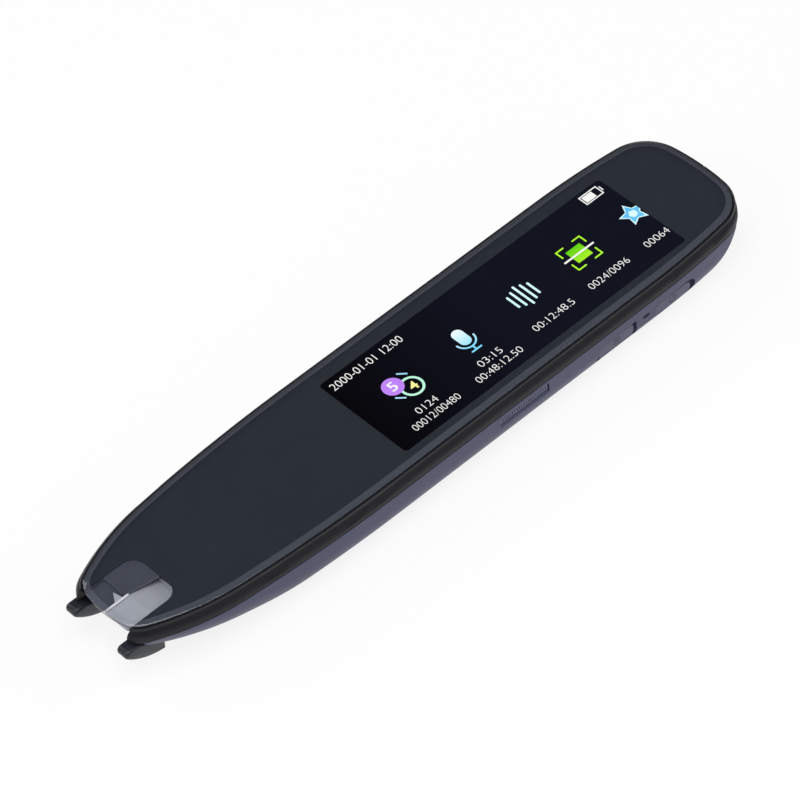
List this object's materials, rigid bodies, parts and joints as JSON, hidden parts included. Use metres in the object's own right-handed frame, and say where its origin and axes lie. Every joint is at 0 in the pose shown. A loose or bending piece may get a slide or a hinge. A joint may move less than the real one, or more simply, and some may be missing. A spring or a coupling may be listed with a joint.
{
  "type": "scanning pen",
  "caption": "Slim handheld scanning pen with a lit bar display under a full glass front, side buttons, a speaker slot and spring-loaded feet beside the scan mouth.",
  "frame": {"origin": "on the resting plane, under the middle of the body's bounding box", "axes": "+X from the scan tip to the tail, +Y to the side without buttons, +Z out of the glass front"},
  "size_m": [0.153, 0.0326, 0.0123],
  "materials": {
    "cover_glass": "polished clear glass",
    "glass_print": "dark slate ink behind glass",
    "black_adhesive": "black foam tape",
    "display_face": "lit colour display",
    "flex_amber": "amber flat cable",
    "frame_black": "satin black moulded",
    "housing_slate": "satin blue-grey coated",
    "inner_black": "black moulded",
    "cone_grey": "grey film cone",
    "cell_wrap": "silver foil pouch",
    "cap_tape": "amber tape",
    "lead_red": "insulated wire",
    "board_green": "green solder mask",
    "screw_steel": "plated steel",
    "chip_black": "moulded black",
    "can_tin": "tinned sheet",
    "connector_ivory": "ivory moulded",
    "switch_metal": "stamped cover",
    "button_slate": "satin blue-grey coated",
    "antenna_black": "printed flex",
    "port_steel": "stamped steel",
    "chamber_smoke": "smoked plastic",
    "diffuser_grey": "frosted light grey",
    "window_clear": "clear pane",
    "board_white": "white solder mask",
    "led_amber": "phosphor lamp",
    "lens_glass": "coated lens",
    "foot_black": "polished black",
    "spring_steel": "spring wire"
  },
  "bodies": {
    "pen_body": {"cover_glass": "cover_glass", "glass_print": "glass_print", "glass_adhesive": "black_adhesive", "display_panel": "display_face", "display_flex": "flex_amber", "middle_frame": "frame_black", "rear_housing": "housing_slate", "speaker_grille": "housing_slate", "speaker_box": "inner_black", "speaker_cone": "cone_grey", "battery": "cell_wrap", "battery_cap": "cap_tape", "battery_leads": "lead_red", "main_board": "board_green", "frame_screws": "screw_steel", "board_chips": "chip_black", "shield_can": "can_tin", "board_connectors": "connector_ivory", "button_switches": "switch_metal", "microphone": "switch_metal", "antenna_sheet": "antenna_black", "port_shell": "port_steel", "port_tongue": "inner_black", "scan_chamber": "chamber_smoke", "diffuser_plate": "diffuser_grey", "scan_window": "window_clear", "led_board": "board_white", "leds": "led_amber", "scan_camera": "inner_black", "camera_lens": "lens_glass", "camera_flex": "flex_amber", "foot_springs": "spring_steel", "trigger_switch": "switch_metal"},
    "power_key": {"power_button": "button_slate"},
    "menu_key": {"menu_button": "button_slate"},
    "scan_feet": {"scan_foot_far": "foot_black", "scan_foot_near": "foot_black", "foot_carrier": "foot_black"}
  },
  "joints": [
    {"name": "power_press", "type": "slide", "parent": "pen_body", "child": "power_key", "axis": [0, 1, 0], "range_m": [0, 0.00025], "stiffness_N_per_m": 3000, "springref_m": -0.0001},
    {"name": "menu_press", "type": "slide", "parent": "pen_body", "child": "menu_key", "axis": [0, 1, 0], "range_m": [0, 0.00025], "stiffness_N_per_m": 3000, "springref_m": -0.0001},
    {"name": "feet_press", "type": "slide", "parent": "pen_body", "child": "scan_feet", "axis": [1, 0, 0], "range_m": [0, 0.0008], "stiffness_N_per_m": 800, "springref_m": -0.0006, "deforming": ["foot_springs"]}
  ]
}
